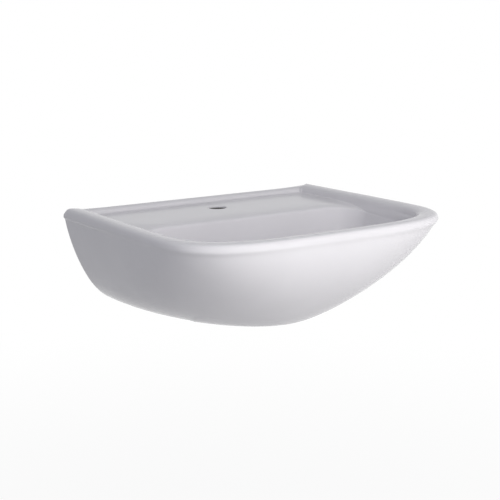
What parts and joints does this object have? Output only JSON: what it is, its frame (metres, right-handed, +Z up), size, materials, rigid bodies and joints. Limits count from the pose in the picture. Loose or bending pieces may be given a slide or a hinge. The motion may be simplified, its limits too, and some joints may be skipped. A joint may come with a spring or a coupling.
{
  "type": "wall hung basin",
  "caption": "Wall hung ceramic wash basin with raised rim, tap deck, press-to-close waste and wall fixings.",
  "frame": {"origin": "midway between the two wall studs, on the wall plane", "axes": "+X along the wall to the right seen from the front, +Y into the wall, +Z up"},
  "size_m": [0.56, 0.53, 0.197],
  "materials": {
    "glaze": "glossy white glaze",
    "chrome": "polished",
    "rubber": "matt black",
    "nylon": "white moulded",
    "acetal": "moulded",
    "brass": "machined",
    "steel": "drawn wire",
    "zinc": "zinc plated"
  },
  "bodies": {
    "basin": {"basin_body": "glaze", "waste_body": "chrome", "flange_seal": "rubber", "cone_washer": "rubber", "friction_washer": "nylon", "backnut": "brass", "clicker_body": "brass", "stud_left": "zinc", "bush_left": "nylon", "washer_left": "zinc", "nut_left": "zinc", "cover_left": "nylon", "stud_right": "zinc", "bush_right": "nylon", "washer_right": "zinc", "nut_right": "zinc", "cover_right": "nylon"},
    "plug": {"plug_cap": "chrome", "plug_seal": "rubber", "plug_stem": "brass", "clicker_cam": "acetal", "clicker_spring": "steel"}
  },
  "joints": [
    {"name": "plug_slide", "type": "slide", "parent": "basin", "child": "plug", "axis": [0, 0, 1], "range_m": [0, 0.009], "deforming": ["clicker_spring"]}
  ]
}
